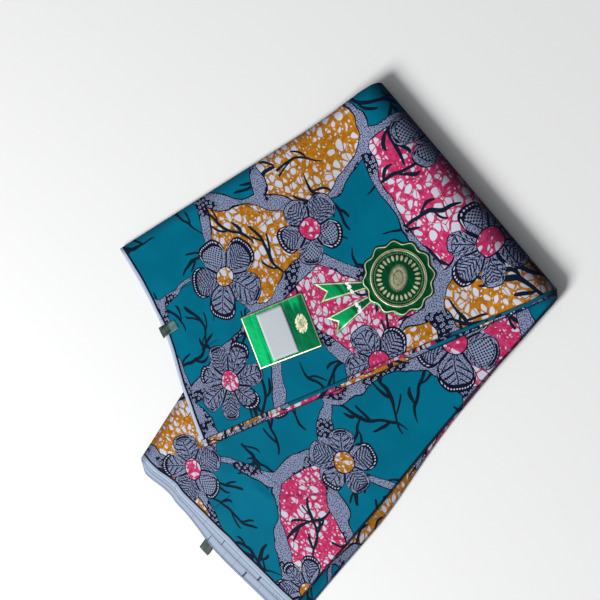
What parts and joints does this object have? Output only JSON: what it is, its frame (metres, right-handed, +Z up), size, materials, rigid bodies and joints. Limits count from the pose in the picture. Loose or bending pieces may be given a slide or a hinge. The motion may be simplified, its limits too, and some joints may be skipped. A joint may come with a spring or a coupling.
{
  "type": "folded wax print fabric",
  "caption": "Folded length of printed wax cotton cloth, a flat strip of many plies doubled over at a slant, with blank foil labels.",
  "frame": {"origin": "middle of the whole part's footprint, on the surface that it lies on", "axes": "+Z up through the plies; the turned fold lies towards +X and +Y, both selvedge ends towards -X and -Y"},
  "size_m": [0.654, 0.7867, 0.026],
  "materials": {
    "printed_cotton": "wax printed cotton with a light polish",
    "printed_cotton_edge": "folded edges and selvedges of the printed cotton",
    "green_foil": "metallic green foil with pale gold lines",
    "label_paper": "plain coated paper",
    "green_tape": "thin glossy tape"
  },
  "bodies": {
    "root": {"upper_stretch": "printed_cotton", "lower_stretch": "printed_cotton", "inner_plies": "printed_cotton_edge", "seal_disc": "green_foil", "seal_tail_upper": "green_foil", "seal_tail_lower": "green_foil", "foil_label": "green_foil", "label_panel": "label_paper", "tape_tab_upper": "green_tape", "tape_tab_lower": "green_tape"}
  },
  "joints": []
}
